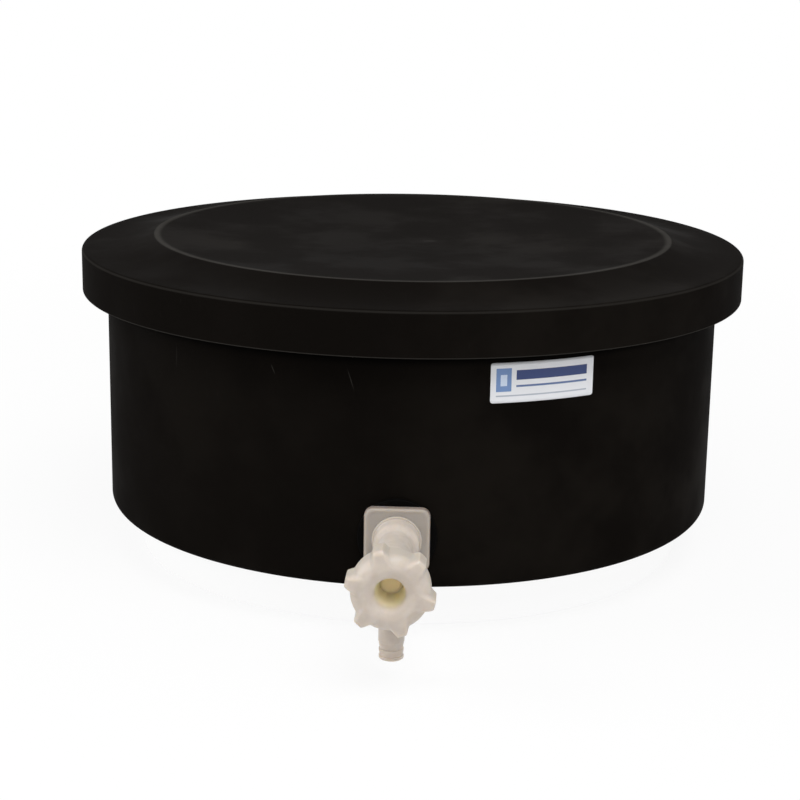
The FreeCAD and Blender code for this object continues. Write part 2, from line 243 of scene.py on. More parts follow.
# %% Helper: boolean work, shading and the last steps of a piece
WELD_REACH = 0.002 * MM


def combined(piece, others, operation):
    """Unite others with the piece or cut them from it, drop them, and weld points that coincide."""
    for other in others:
        step = piece.modifiers.new(other.name, "BOOLEAN")
        step.operation = operation
        step.solver = "EXACT"
        step.object = other
    piece.modifiers.new("weld", "WELD").merge_threshold = WELD_REACH
    graph = bpy.context.evaluated_depsgraph_get()
    mesh = bpy.data.meshes.new_from_object(piece.evaluated_get(graph))
    piece.modifiers.clear()
    piece.data = mesh
    for other in others:
        bpy.data.objects.remove(other)
    return piece


def finish_piece(piece, material, body, sharp_angle=35):
    """Smooth shading with creases beyond an angle in degrees, then finish, slot and body."""
    piece.data.shade_smooth()
    piece.data.set_sharp_from_angle(angle=math.radians(sharp_angle))
    piece.data.materials.clear()
    piece.data.materials.append(material)
    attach(piece, body)
    triangles = sum(len(face.vertices) - 2 for face in piece.data.polygons)
    print(piece.name, "has", triangles, "triangles")


# %% [markdown]
# ## Finishes
#
# All finishes are built from nodes and read object coordinates, which are metres here, so a
# noise scale of 1000 makes grains of about a millimetre. Small helpers add a node, join
# sockets and make the two things that recur: noise, and a value stretched to a range.

# %% Helpers for node materials
def new_finish(name):
    material = bpy.data.materials.new(name)
    material.use_nodes = True
    return material, material.node_tree, material.node_tree.nodes["Principled BSDF"]


def set_inputs(tree, node, inputs):
    """Link the inputs that are given as sockets and set the others."""
    for key, value in inputs.items():
        if isinstance(value, bpy.types.NodeSocket):
            tree.links.new(value, node.inputs[key])
        else:
            node.inputs[key].default_value = value


def joined(tree, kind, settings=None, inputs=None):
    """Add a node and set its options and its inputs."""
    node = tree.nodes.new(kind)
    for key, value in (settings or {}).items():
        setattr(node, key, value)
    set_inputs(tree, node, inputs or {})
    return node


def object_place(tree):
    return joined(tree, "ShaderNodeTexCoord").outputs["Object"]


def noise(tree, place, scale, detail=3.0, roughness=0.55):
    settings = {"Vector": place, "Scale": scale, "Detail": detail, "Roughness": roughness}
    return joined(tree, "ShaderNodeTexNoise", inputs=settings).outputs["Fac"]


def stretched(tree, value, low, high, new_low=0.0, new_high=1.0, smooth=True):
    """Map low..high to new_low..new_high, held at both ends."""
    settings = {"interpolation_type": "SMOOTHSTEP" if smooth else "LINEAR"}
    inputs = {"Value": value, "From Min": low, "From Max": high,
              "To Min": new_low, "To Max": new_high}
    return joined(tree, "ShaderNodeMapRange", settings, inputs).outputs["Result"]


def combine(tree, operation, first, second):
    node = joined(tree, "ShaderNodeMath", {"operation": operation}, {0: first, 1: second})
    return node.outputs[0]


def times(tree, first, second):
    return combine(tree, "MULTIPLY", first, second)


def mixed_colour(tree, factor, first, second):
    """Blend two colours: inputs 0, 6 and 7 of the node are the factor and the two colours."""
    inputs = {0: factor, 6: first, 7: second}
    return joined(tree, "ShaderNodeMix", {"data_type": "RGBA"}, inputs).outputs[2]


def parts_of(tree, vector):
    """The X, Y and Z sockets of a vector."""
    return joined(tree, "ShaderNodeSeparateXYZ", inputs={"Vector": vector}).outputs


def length_of(tree, vector):
    node = joined(tree, "ShaderNodeVectorMath", {"operation": "LENGTH"}, {0: vector})
    return node.outputs["Value"]


def seen_directly(tree):
    """1 for rays from the camera, mirrored rays and rays through clear matter, 0 for light."""
    rays = joined(tree, "ShaderNodeLightPath").outputs
    seen = combine(tree, "MAXIMUM", rays["Is Camera Ray"], rays["Is Glossy Ray"])
    return combine(tree, "MAXIMUM", seen, rays["Is Transmission Ray"])


def bumped(tree, shader, height, strength, distance):
    inputs = {"Height": height, "Strength": strength, "Distance": distance}
    bump = joined(tree, "ShaderNodeBump", inputs=inputs)
    set_inputs(tree, shader, {"Normal": bump.outputs["Normal"]})


# %% [markdown]
# ### Black polyethylene
#
# The tank and its cover are matt and nearly black, with a faint warm mottle where the skin of
# the moulding is uneven. Handling leaves pale scuffs, and a few single scratches can be seen.
# Wall scratches are placed by the arc length round the tank and the height, so they follow the
# wall: a mapping in texture mode turns a long thin ellipse into the unit circle, and whatever
# lies inside it is scratched. Below the skirt the top of the wall is painted deep black, a
# painted shadow of the skirt, and the cover has pale painted highlight lines along its ridge,
# its upper edge and its hem.

# %% Black polyethylene
def ellipse_mark(tree, flat_place, centre, half_length, half_width, angle):
    """1 inside a thin ellipse on a flat place vector, fading to 0 at its edge."""
    settings = {"vector_type": "TEXTURE"}
    inputs = {"Vector": flat_place, "Location": (*centre, 0), "Rotation": (0, 0, angle),
              "Scale": (half_length, half_width, 1)}
    unit = joined(tree, "ShaderNodeMapping", settings, inputs).outputs["Vector"]
    return stretched(tree, length_of(tree, unit), 0.3, 1.0, 1.0, 0.0)


def scuffs(tree, place, along, share):
    """Fine broken lines: noise squeezed across one direction, cut to its highest peaks."""
    squeezed = joined(tree, "ShaderNodeMapping", inputs={"Vector": place, "Scale": along})
    fine = noise(tree, squeezed.outputs["Vector"], 1.0, 2.0, 0.6)
    lines = stretched(tree, fine, 1.0 - share, 1.0 - share + 0.05)
    patches = stretched(tree, noise(tree, place, 9.0, 1.0), 0.55, 0.70)
    return times(tree, lines, patches)


BLACK_DEEP = (0.0044, 0.0036, 0.0030, 1)
BLACK_WARM = (0.0076, 0.0063, 0.0051, 1)
BLACK_SCUFF_AND_HIGHLIGHT = (0.030, 0.028, 0.025, 1)
BLACK_SHADE = (0.0003, 0.0003, 0.0003, 1)


def black_polyethylene(name, marks, shade=None):
    """Matt black plastic. marks give pale places, shade gives painted shadow, both of tree and
    place, 0 to 1.
    """
    material, tree, shader = new_finish(name)
    place = object_place(tree)
    mottle = stretched(tree, noise(tree, place, 11.0, 4.0, 0.6), 0.38, 0.66)
    clouds = stretched(tree, noise(tree, place, 3.2, 2.0), 0.35, 0.68)
    warm = mixed_colour(tree, times(tree, mottle, clouds), BLACK_DEEP, BLACK_WARM)
    fine_scuffs = times(tree, scuffs(tree, place, (650, 650, 45), 0.30), 0.3)
    # Pale scuffs and marks; on the cover the marks include painted highlight lines along the ridge,
    # upper edge and hem.
    wear_and_highlight = combine(tree, "MAXIMUM", fine_scuffs, marks(tree, place))
    colour = mixed_colour(tree, wear_and_highlight, warm, BLACK_SCUFF_AND_HIGHLIGHT)
    # shade paints the skirt's shadow on the wall: painted shade.
    if shade:
        colour = mixed_colour(tree, shade(tree, place), colour, BLACK_SHADE)
    set_inputs(tree, shader, {
        "Base Color": colour,
        "Roughness": stretched(tree, mottle, 0, 1, 0.72, 0.62),
        "Specular IOR Level": 0.006,
    })
    grain = noise(tree, place, 1400.0, 2.0)
    orange_peel = noise(tree, place, 160.0, 2.0)
    height = combine(tree, "ADD", grain, times(tree, orange_peel, 2.0))
    bumped(tree, shader, height, 0.35, 0.08 * MM)
    return material


# %% Marks on the wall: centre of a scratch, its half length and half width, and its lean
SCRATCH_STRENGTH = 0.8
LONG_SCRATCH = ((-32 * MM, 142.5 * MM), 9 * MM, 0.45 * MM, math.radians(108))
SHORT_SCRATCH = ((-86 * MM, 145 * MM), 4.5 * MM, 0.5 * MM, math.radians(115))
# Painted shadow below the skirt: how strongly the wall is painted darker, and the heights over
# which it fades in.
SKIRT_SHADOW_STRENGTH = 0.9
SKIRT_SHADOW_HEIGHTS = (skirt_bottom - 11 * MM, skirt_bottom - 3 * MM)


def wall_marks(tree, place):
    """The single scratches on the tank's wall, by arc length from the spigot and height."""
    parts = parts_of(tree, place)
    front = times(tree, parts["Y"], -1.0)
    azimuth = combine(tree, "ARCTAN2", parts["X"], front)
    arc = times(tree, azimuth, tank_radius)
    flat = joined(tree, "ShaderNodeCombineXYZ", inputs={"X": arc, "Y": parts["Z"]}).outputs[0]
    marks = [ellipse_mark(tree, flat, *scratch) for scratch in (LONG_SCRATCH, SHORT_SCRATCH)]
    return times(tree, combine(tree, "MAXIMUM", *marks), SCRATCH_STRENGTH)


def painted_skirt_shadow(tree, place):
    """Painted shadow: the wall just below the skirt is painted deep black."""
    shadowed = stretched(tree, parts_of(tree, place)["Z"], *SKIRT_SHADOW_HEIGHTS)
    return times(tree, shadowed, SKIRT_SHADOW_STRENGTH)


# %% Marks on the cover: lowest and highest height of a painted highlight line, its softness and its strength
SPOT_STRENGTH = 0.35
SPOT = ((13 * MM, -4 * MM), 8 * MM, 5 * MM, 0.3)
PAINTED_HIGHLIGHT_LINES = {
    "ridge": (ridge_top - 0.12 * MM, ridge_top, 0.25 * MM, 0.9),
    "upper edge": (land_top - 1.5 * MM, land_top - 0.9 * MM, 0.6 * MM, 0.35),
    "hem": (skirt_bottom, skirt_bottom + 0.5 * MM, 0.5 * MM, 0.8),
}


def height_band(tree, height, low, high, soft):
    """1 between two heights, falling to 0 over soft on both sides."""
    rising = stretched(tree, height, low - soft, low)
    falling = stretched(tree, height, high, high + soft, 1.0, 0.0)
    return times(tree, rising, falling)


def cover_mark_and_highlights(tree, place):
    """The moulding mark near the middle of the dish, and painted highlight lines along the ridge,
    upper edge and hem.
    """
    height = parts_of(tree, place)["Z"]
    marks = times(tree, ellipse_mark(tree, place, *SPOT), SPOT_STRENGTH)
    for low, high, soft, strength in PAINTED_HIGHLIGHT_LINES.values():
        line = times(tree, height_band(tree, height, low, high, soft), strength)
        marks = combine(tree, "MAXIMUM", marks, line)
    return marks


black_wall = black_polyethylene("black_polyethylene_wall", wall_marks, painted_skirt_shadow)
black_cover = black_polyethylene("black_polyethylene_cover", cover_mark_and_highlights)
print("black finishes made")

# %% [markdown]
# ### White polyethylene, rubber and label film
#
# Natural polyethylene lets light in: it looks waxy, and a deep recess glows yellowish because
# the light there has gone through more plastic. Subsurface scattering gives the first. The
# second is painted light: an attribute on the knob's points, 1 at the bottom of the recess,
# paints a bright yellowish glow into the colour there. The flange, its edges and the knob's
# side wall are painted darker than the rest, as painted shade, so their colours go by the
# distance outwards from the tank's wall: each pair of distances is where one colour ends and
# the next is full.

# %% White polyethylene
FLANGE_FACE = 8.0 * MM
KNOB_SHOULDER = 109.5 * MM
# WHITE_LIGHT and WHITE_SHADE are the two tones of a random mottle; the glow and the three shade
# colours after them are painted light and painted shade.
WHITE_LIGHT = (0.59, 0.525, 0.465, 1)
WHITE_SHADE = (0.545, 0.48, 0.42, 1)
WHITE_PAINTED_GLOW = (0.925, 0.80, 0.55, 1)
WHITE_FLANGE_SHADE = (0.41, 0.37, 0.33, 1)
WHITE_FLANGE_EDGE_SHADE = (0.25, 0.205, 0.18, 1)
WHITE_KNOB_WALL_SHADE = (0.53, 0.475, 0.41, 1)
BOSS_TO_FLANGE = (FLANGE_FACE + 2.2 * MM, FLANGE_FACE + 0.8 * MM)
FLANGE_TO_EDGE = (FLANGE_FACE + 0.2 * MM, FLANGE_FACE - 1.0 * MM)
DOME_TO_KNOB_WALL = (KNOB_SHOULDER + 1.0 * MM, KNOB_SHOULDER - 5.0 * MM)
KNOB_WALL_TO_BARREL = (KNOB_SHOULDER - 17.0 * MM, KNOB_SHOULDER - 18.0 * MM)
SUBSURFACE_REACH = 5.0 * MM


def along_spigot(tree, outwards, distances, at_far=0.0, at_near=1.0):
    """A value that goes from at_far to at_near between two distances from the wall."""
    far, near = distances
    return stretched(tree, outwards, -tank_radius - far, -tank_radius - near, at_far, at_near)


def white_polyethylene():
    material, tree, shader = new_finish("white_polyethylene")
    place = object_place(tree)
    mottle = stretched(tree, noise(tree, place, 120.0, 3.0), 0.35, 0.65)
    plain = mixed_colour(tree, mottle, WHITE_LIGHT, WHITE_SHADE)
    # The recess attribute paints a bright yellowish glow deep in the recess: painted light.
    recess = joined(tree, "ShaderNodeAttribute", {"attribute_name": "recess"}).outputs["Fac"]
    outwards = parts_of(tree, place)["Y"]
    # Painted shade: the flange darker than the rest, its side edges darker still.
    edge_shade = along_spigot(tree, outwards, FLANGE_TO_EDGE)
    flange = mixed_colour(tree, edge_shade, WHITE_FLANGE_SHADE, WHITE_FLANGE_EDGE_SHADE)
    body = mixed_colour(tree, along_spigot(tree, outwards, BOSS_TO_FLANGE), plain, flange)
    # Painted shade on the knob's side wall, between the shoulder and the barrel.
    knob_front = along_spigot(tree, outwards, DOME_TO_KNOB_WALL)
    knob_back = along_spigot(tree, outwards, KNOB_WALL_TO_BARREL, 1.0, 0.0)
    knob_wall_shade = times(tree, knob_front, knob_back)
    outside = mixed_colour(tree, knob_wall_shade, body, WHITE_KNOB_WALL_SHADE)
    colour = mixed_colour(tree, recess, outside, WHITE_PAINTED_GLOW)
    set_inputs(tree, shader, {
        "Base Color": colour,
        "Subsurface Weight": 0.8,
        "Subsurface Radius": (1.0, 0.78, 0.5),
        "Subsurface Scale": SUBSURFACE_REACH,
        "Roughness": stretched(tree, mottle, 0, 1, 0.46, 0.56),
        "Specular IOR Level": 0.45,
    })
    ripple = combine(tree, "ADD", noise(tree, place, 260.0, 2.0), noise(tree, place, 1600.0, 1.0))
    bumped(tree, shader, ripple, 0.25, 0.06 * MM)
    return material


white_plastic = white_polyethylene()


# %% Black rubber
RUBBER_BLACK = (0.0024, 0.0022, 0.0021, 1)
RUBBER_SPECK = (0.012, 0.011, 0.010, 1)


def black_rubber():
    material, tree, shader = new_finish("black_rubber")
    place = object_place(tree)
    specks = stretched(tree, noise(tree, place, 900.0, 2.0), 0.66, 0.72)
    colour = mixed_colour(tree, specks, RUBBER_BLACK, RUBBER_SPECK)
    set_inputs(tree, shader, {"Base Color": colour, "Roughness": 0.55, "Specular IOR Level": 0.02})
    bumped(tree, shader, noise(tree, place, 1200.0, 2.0), 0.3, 0.05 * MM)
    return material


rubber = black_rubber()

# %% [markdown]
# The label carries a generic print: a pale blue swatch, a dark blue bar and thin lines. Each
# field is a rectangle in the label's own UV map, where u runs along the label and v up it.

# %% Label film
LABEL_WHITE = (0.80, 0.81, 0.84, 1)
LABEL_FIELDS = {
    "swatch": ((0.05, 0.28, 0.19, 0.86), (0.16, 0.27, 0.52, 1)),
    "swatch_core": ((0.09, 0.42, 0.15, 0.70), (0.62, 0.72, 0.88, 1)),
    "bar": ((0.235, 0.56, 0.93, 0.80), (0.020, 0.045, 0.17, 1)),
    "line": ((0.235, 0.38, 0.93, 0.43), (0.10, 0.16, 0.33, 1)),
    "thin_line": ((0.05, 0.155, 0.93, 0.19), (0.42, 0.45, 0.52, 1)),
}


def between(tree, value, low, high):
    """1 where a value lies between two limits: the product of two comparisons."""
    above = combine(tree, "GREATER_THAN", value, low)
    below = combine(tree, "LESS_THAN", value, high)
    return times(tree, above, below)


def field_mask(tree, u, v, field):
    """1 inside left, bottom, right, top of the UV square."""
    left, bottom, right, top = field
    return times(tree, between(tree, u, left, right), between(tree, v, bottom, top))


def label_film():
    material, tree, shader = new_finish("label_film")
    uv = joined(tree, "ShaderNodeUVMap", {"uv_map": "print"}).outputs["UV"]
    parts = parts_of(tree, uv)
    colour = LABEL_WHITE
    for field, ink in LABEL_FIELDS.values():
        mask = field_mask(tree, parts["X"], parts["Y"], field)
        colour = mixed_colour(tree, mask, colour, ink)
    place = object_place(tree)
    dull = stretched(tree, noise(tree, place, 60.0, 3.0), 0.3, 0.7, 0.30, 0.42)
    set_inputs(tree, shader, {"Base Color": colour, "Roughness": dull})
    bumped(tree, shader, noise(tree, place, 90.0, 2.0), 0.1, 0.1 * MM)
    return material


film = label_film()
print("all finishes made")

# %% [markdown]
# ## The tank
#
# A turned shape is one outline carried round an axis. The outline runs from the middle of the
# underside round the outside, over the lip and back along the inside, so the mesh is a closed
# wall. The hole for the spigot is cut afterwards with a plain cylinder.

# %% Tank body
TANK_COLUMNS = 480
TANK_STEP = 14 * MM
HOLE_COLUMNS = 96
SPIGOT_HOLE_RADIUS = 13.7 * MM
gasket_low, gasket_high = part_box("outer_gasket")
spigot_height = (gasket_low.z + gasket_high.z) / 2


def on_wall(grid):
    """Spigot axes to tank axes: x stays, the second goes up, the third outwards from the wall."""
    x, up, outwards = grid[..., 0], grid[..., 1], grid[..., 2]
    return np.stack([x, -tank_radius - outwards, spigot_height + up], axis=-1)


def tank_outline():
    lip_underside = tank_height - tank_wall
    lip_bottom = tank_height - lip_depth
    lip_inside = lip_radius - lip_edge_wall
    tank_inside = tank_radius - tank_wall
    corners = [
        (0, 0),
        (tank_radius, 0, base_corner_radius),
        (tank_radius, lip_underside, lip_edge_round),
        (lip_inside, lip_underside, lip_root_round),
        (lip_inside, lip_bottom, lip_end_round),
        (lip_radius, lip_bottom, lip_end_round),
        (lip_radius, tank_height, lip_edge_round),
        (tank_inside, tank_height, mouth_round),
        (tank_inside, tank_wall, base_inner_corner_radius),
        (0, tank_wall),
    ]
    return filled_in(rounded_line(corners), TANK_STEP)


def hole_outline():
    """A plain cylinder that reaches well past both sides of the wall."""
    inside, outside, radius = -3 * tank_wall, tank_wall, SPIGOT_HOLE_RADIUS
    return np.array([(0, inside), (radius, inside), (radius, outside), (0, outside)])


tank_body = skin("tank_body_shell", turned(tank_outline(), TANK_COLUMNS))
hole = skin("spigot_hole", on_wall(turned(hole_outline(), HOLE_COLUMNS)))
tank_body = combined(tank_body, [hole], "DIFFERENCE")
finish_piece(tank_body, black_wall, "tank")
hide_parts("tank_body")

# %% [markdown]
# ## The cover
#
# Seen in section, the top of the cover is two arcs, both hollow upwards: the wide shallow dish
# and the steep cove outside it. The lower of the two arcs is the surface, so they meet in a
# crisp ridge. A soft minimum, -k log(exp(-a / k) + exp(-b / k)), rounds that ridge so that it
# catches a fine line of light. The underside is the same pair of arcs one wall further down.

# %% Cover
COVER_COLUMNS = 416
COVER_STEP = 6 * MM
DISH_STATIONS = 30
RIDGE_STATIONS = 33
COVE_STATIONS = 22
RIDGE_REACH = 3 * MM
RIDGE_GAP = 4 * MM
LAND_START = 1 * MM


def cover_top(radius, depth):
    """Height of the dish and cove at this radius, for a surface lying depth below the outside."""
    cove_edge = skirt_radius - land_width
    cove_run = cove_edge - ridge_radius
    ridge_height = ridge_top - land_top
    cove_arc = (cove_run**2 + ridge_height**2) / (2 * ridge_height)
    dish_arc = (ridge_radius**2 + dish_depth**2) / (2 * dish_depth)
    dish = ridge_top - dish_depth + dish_arc - np.sqrt((dish_arc + depth)**2 - radius**2)
    inwards = np.maximum(cove_edge - radius, 0)
    reach = np.minimum(inwards, 0.9 * cove_arc)
    cove = land_top + cove_arc - np.sqrt((cove_arc + depth)**2 - reach**2) + 2 * (inwards - reach)
    lower = np.minimum(dish, cove)
    return lower - ridge_softness * np.log(np.exp((lower - dish) / ridge_softness)
                                           + np.exp((lower - cove) / ridge_softness))


def cover_outline():
    """Middle of the dish to the hem on the outside, then back along the underside."""
    cove_edge = skirt_radius - land_width
    near_ridge = ridge_radius + np.linspace(-RIDGE_REACH, RIDGE_REACH, RIDGE_STATIONS)
    dish = np.linspace(0, ridge_radius - RIDGE_GAP, DISH_STATIONS)
    cove = np.linspace(ridge_radius + RIDGE_GAP, cove_edge, COVE_STATIONS)
    radii = np.concatenate([dish, near_ridge, cove])
    outside = np.stack([radii, cover_top(radii, 0)], axis=1)
    skirt_inside = skirt_radius - cover_wall
    edge = rounded_line([
        (cove_edge + LAND_START, land_top),
        (skirt_radius, land_top, cover_edge_round),
        (skirt_radius, skirt_bottom, hem_round),
        (skirt_inside, skirt_bottom, hem_round),
        (skirt_inside, land_top - cover_wall, skirt_inner_round),
        (cove_edge, land_top - cover_wall),
    ])
    under = radii[::-1][1:]
    underside = np.stack([under, cover_top(under, cover_wall)], axis=1)
    return np.vstack([outside, filled_in(edge, COVER_STEP), underside])


cover = skin("cover_shell", turned(cover_outline(), COVER_COLUMNS))
finish_piece(cover, black_cover, "tank")
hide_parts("cover")

# %% [markdown]
# ## The label
#
# A sheet bent round the wall: columns run along it, rows up it. Near each end the rows are
# squeezed by a quarter circle so that the corners come out round. Solidify gives the film its
# thickness, inwards, and the UV map places the print.

# %% Label
label_low, label_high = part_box("label")
LABEL_WIDTH = 75.0 * MM
LABEL_CORNER = 1.7 * MM
LABEL_THICKNESS = 0.3 * MM
LABEL_GLUE_GAP = 0.15 * MM
LABEL_AZIMUTH = math.radians(24.3)
LABEL_COLUMNS = 97
LABEL_ROWS = 13
LABEL_END_PACKING = 1.6


def label_sheet():
    """Half height at distance e from an end is h - c + sqrt(c^2 - (c - e)^2) inside the corner."""
    half_height = (label_high.z - label_low.z) / 2
    middle = (label_high.z + label_low.z) / 2
    blend = np.linspace(-1, 1, LABEL_COLUMNS)
    along = np.sign(blend) * (1 - (1 - np.abs(blend))**LABEL_END_PACKING) * LABEL_WIDTH / 2
    from_end = np.minimum(LABEL_WIDTH / 2 - np.abs(along), LABEL_CORNER)
    reach = half_height - LABEL_CORNER + np.sqrt(LABEL_CORNER**2 - (LABEL_CORNER - from_end)**2)
    upward = np.linspace(-1, 1, LABEL_ROWS)[:, None] * reach
    angle = np.repeat((LABEL_AZIMUTH + along / tank_radius)[None, :], LABEL_ROWS, axis=0)
    radius = tank_radius + LABEL_GLUE_GAP + LABEL_THICKNESS
    points = np.stack([radius * np.sin(angle), -radius * np.cos(angle), middle + upward], axis=-1)
    u = np.repeat((along / LABEL_WIDTH)[None, :], LABEL_ROWS, axis=0) + 0.5
    v = upward / half_height / 2 + 0.5
    flat = np.stack([u, v], axis=-1)
    return points, flat


def make_label():
    points, flat = label_sheet()
    rows, columns = points.shape[:2]
    i = np.arange(rows - 1)[:, None]
    j = np.arange(columns - 1)[None, :]
    start = i * columns + j
    cells = np.stack([start, start + 1, start + columns + 1, start + columns], axis=-1)
    cells = cells.reshape(-1, 4)
    label = add_piece("label_sheet", points.reshape(-1, 3), cells.tolist())
    layer = label.data.uv_layers.new(name="print")
    layer.data.foreach_set("uv", flat.reshape(-1, 2)[cells.reshape(-1)].reshape(-1))
    thickness = label.modifiers.new("film", "SOLIDIFY")
    thickness.thickness = LABEL_THICKNESS
    thickness.offset = -1
    return label


label = make_label()
finish_piece(label, film, "tank")
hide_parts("label")

# %% [markdown]
# ## The outer gasket
#
# A flat rubber ring, but its back lies on a round wall. At a distance x to the side of the
# spigot's axis the wall has fallen back by R - sqrt(R^2 - x^2), so every point of the outline is
# given as a share of the way from that wall to the flange.

# %% Outer gasket
gasket_radius = gasket_high.x
GASKET_FRONT = 3.0 * MM
GASKET_BORE_RADIUS = 13.4 * MM
GASKET_ROUND = 0.7 * MM
GASKET_CORNER = 0.2 * MM
GASKET_STEP = 1.5 * MM
GASKET_COLUMNS = 160


def gasket_grid(columns):
    corners = [
        (GASKET_BORE_RADIUS, 0, GASKET_CORNER),
        (gasket_radius, 0, GASKET_CORNER),
        (gasket_radius, GASKET_FRONT, GASKET_ROUND),
        (GASKET_BORE_RADIUS, GASKET_FRONT, GASKET_CORNER),
    ]
    outline = filled_in(rounded_line(corners), GASKET_STEP, closed=True)
    ring = turned(outline, columns)
    wall = np.sqrt(tank_radius**2 - ring[..., 0]**2) - tank_radius
    share = ring[..., 2] / GASKET_FRONT
    ring[..., 2] = wall + share * (GASKET_FRONT - wall)
    return ring


outer_gasket = skin("outer_gasket_ring", on_wall(gasket_grid(GASKET_COLUMNS)), ring=True)
finish_piece(outer_gasket, rubber, "tank")
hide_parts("outer_gasket")

# %% [markdown]
# ## The spigot's body
#
# One moulding with three directions: a trunk turned about the spigot's axis (shank, boss, neck
# and threaded barrel), a square flange, and the outlet with its hose barb turned about a line
# that points down. Each is a closed surface of its own. They are united, and the passages are
# cut out of the whole, just as core pins leave them in the mould. The passages have an odd
# number of columns, so theirs and the outer surface's hardly ever lie in one plane, which keeps
# the cuts clean.

# %% Sizes of the spigot's body, as distances outwards from the wall and radii about its axis
SHANK_RADIUS = 13.2 * MM
SHANK_END = -20.3 * MM
SHANK_THREAD_END = -5.3 * MM
SHANK_THREAD_FADE = -4.8 * MM
SHANK_PLAIN = -4.3 * MM
SHANK_CHAMFER = 0.4 * MM
INLET_BORE_RADIUS = 7.0 * MM
FLANGE_WIDTH = 43.6 * MM
FLANGE_BACK = 3.0 * MM
FLANGE_RIM_FRONT = 8.3 * MM
FLANGE_RIM_WIDTH = 3.4 * MM
FLANGE_RIM_TOP = 2.0 * MM
FLANGE_CORNER = 6.0 * MM
FLANGE_BACK_ROUND = 0.4 * MM
FLANGE_EDGE_ROUND = 1.8 * MM
FLANGE_RIM_ROUND = 1.0 * MM
FLANGE_FOOT_ROUND = 3.0 * MM
FLANGE_STEP = 3 * MM
BEAD_RADIUS = 16.6 * MM
BEAD_START = 5.0 * MM
BEAD_ROUND = 0.5 * MM
BEAD_END = 9.6 * MM
BEAD_STEP = 1.4 * MM
BOSS_TIP_RADIUS = 15.2 * MM
BOSS_SHOULDER = 20.4 * MM
BOSS_END = 23.4 * MM
BOSS_ROUND = 5.0 * MM
NECK_FILLET = 3.0 * MM
NECK_RADIUS = 11.4 * MM
BARREL_FILLET = 1.2 * MM
BARREL_START = 54.0 * MM
BARREL_END = 104.0 * MM
BARREL_RADIUS = 13.7 * MM
BARREL_ROUND = 1.6 * MM
BARREL_END_ROUND = 0.5 * MM
THREAD_START = 85.0 * MM
THREAD_HEIGHT = 1.0 * MM
THREAD_PITCH = 4.0 * MM
SHANK_THREAD_PITCH = 2.5 * MM
RELIEF_RADIUS = 10.0 * MM
TRUNK_STEP = 0.5 * MM
TRUNK_COLUMNS = 144
CHAMBER_RADIUS = 11.2 * MM
SEAT = 60.0 * MM
SEAT_DEPTH = 2.0 * MM
OUTLET = 74.0 * MM
OUTLET_LENGTH = 55.3 * MM
OUTLET_RADIUS = 8.3 * MM
OUTLET_FILLET = 2.0 * MM
OUTLET_STEP = 1.5 * MM
OUTLET_COLUMNS = 112
OUTLET_BORE_RADIUS = 5.5 * MM
COLLAR_RADIUS = 10.4 * MM
COLLAR_LENGTH = 5.0 * MM
COLLAR_STRAIGHT = 1.5 * MM
COLLAR_ROUND = 1.5 * MM
BARB_TEETH = 3
BARB_PITCH = 4.6 * MM
BARB_CREST_RADIUS = 7.9 * MM
BARB_ROOT_RADIUS = 7.3 * MM
BARB_LAND = 1.6 * MM
BARB_STEP = 0.4 * MM
BARB_EDGE = 0.15 * MM
BARB_ROUND = 0.3 * MM
BARB_TIP_ROUND = 1.0 * MM
OUTLET_BORE_CHAMFER = 0.5 * MM
PASSAGE_COLUMNS = 113
OUTLET_BORE_COLUMNS = 97


# %% Trunk with its two threads
def thread_relief(outwards, angle, start, end, pitch):
    """Height of a right-handed thread: a rounded wave of (distance / pitch - angle / turn).

    The wave is flattened at crest and root by a clipped cosine and fades in and out over half a
    pitch at both ends of the threaded length.
    """
    phase = outwards / pitch - angle / (2 * math.pi)
    wave = np.clip(0.5 + 0.9 * np.cos(2 * math.pi * phase), 0, 1)
    fade_in = np.clip((outwards - start) / (pitch / 2), 0, 1)
    fade_out = np.clip((end - outwards) / (pitch / 2), 0, 1)
    return THREAD_HEIGHT * wave * fade_in * fade_out


def trunk_grid(columns):
    """The turned outline, with the relief of both threads on its sides but not on its ends."""
    corners = [
        (0, SHANK_END),
        (SHANK_RADIUS - THREAD_HEIGHT, SHANK_END, SHANK_CHAMFER),
        (SHANK_RADIUS - THREAD_HEIGHT, SHANK_THREAD_END),
        (SHANK_RADIUS, SHANK_PLAIN),
        (SHANK_RADIUS, BEAD_START),
        (BEAD_RADIUS, BEAD_START),
        (BEAD_RADIUS, BEAD_END, BEAD_ROUND),
        (BEAD_RADIUS - BEAD_STEP, BEAD_END, BEAD_ROUND),
        (BOSS_TIP_RADIUS, BOSS_SHOULDER, BOSS_ROUND),
        (NECK_RADIUS, BOSS_END, NECK_FILLET),
        (NECK_RADIUS, BARREL_START, BARREL_FILLET),
        (BARREL_RADIUS, BARREL_START, BARREL_ROUND),
        (BARREL_RADIUS, BARREL_END, BARREL_END_ROUND),
        (0, BARREL_END),
    ]
    grid = turned(filled_in(rounded_line(corners), TRUNK_STEP), columns)
    angle = np.arctan2(grid[..., 1], grid[..., 0])
    outwards = grid[..., 2]
    relief = thread_relief(outwards, angle, THREAD_START, BARREL_END, THREAD_PITCH)
    relief += thread_relief(outwards, angle, SHANK_END, SHANK_THREAD_FADE, SHANK_THREAD_PITCH)
    radius = np.hypot(grid[..., 0], grid[..., 1])
    on_side = np.clip((radius - RELIEF_RADIUS) / MM, 0, 1)
    grow = 1 + on_side * relief / np.maximum(radius, MM)
    grid[..., :2] *= grow[..., None]
    return grid


trunk = skin("spigot_trunk", on_wall(trunk_grid(TRUNK_COLUMNS)))
print("trunk reaches", round(min(corner[1] for corner in trunk.bound_box), 4))


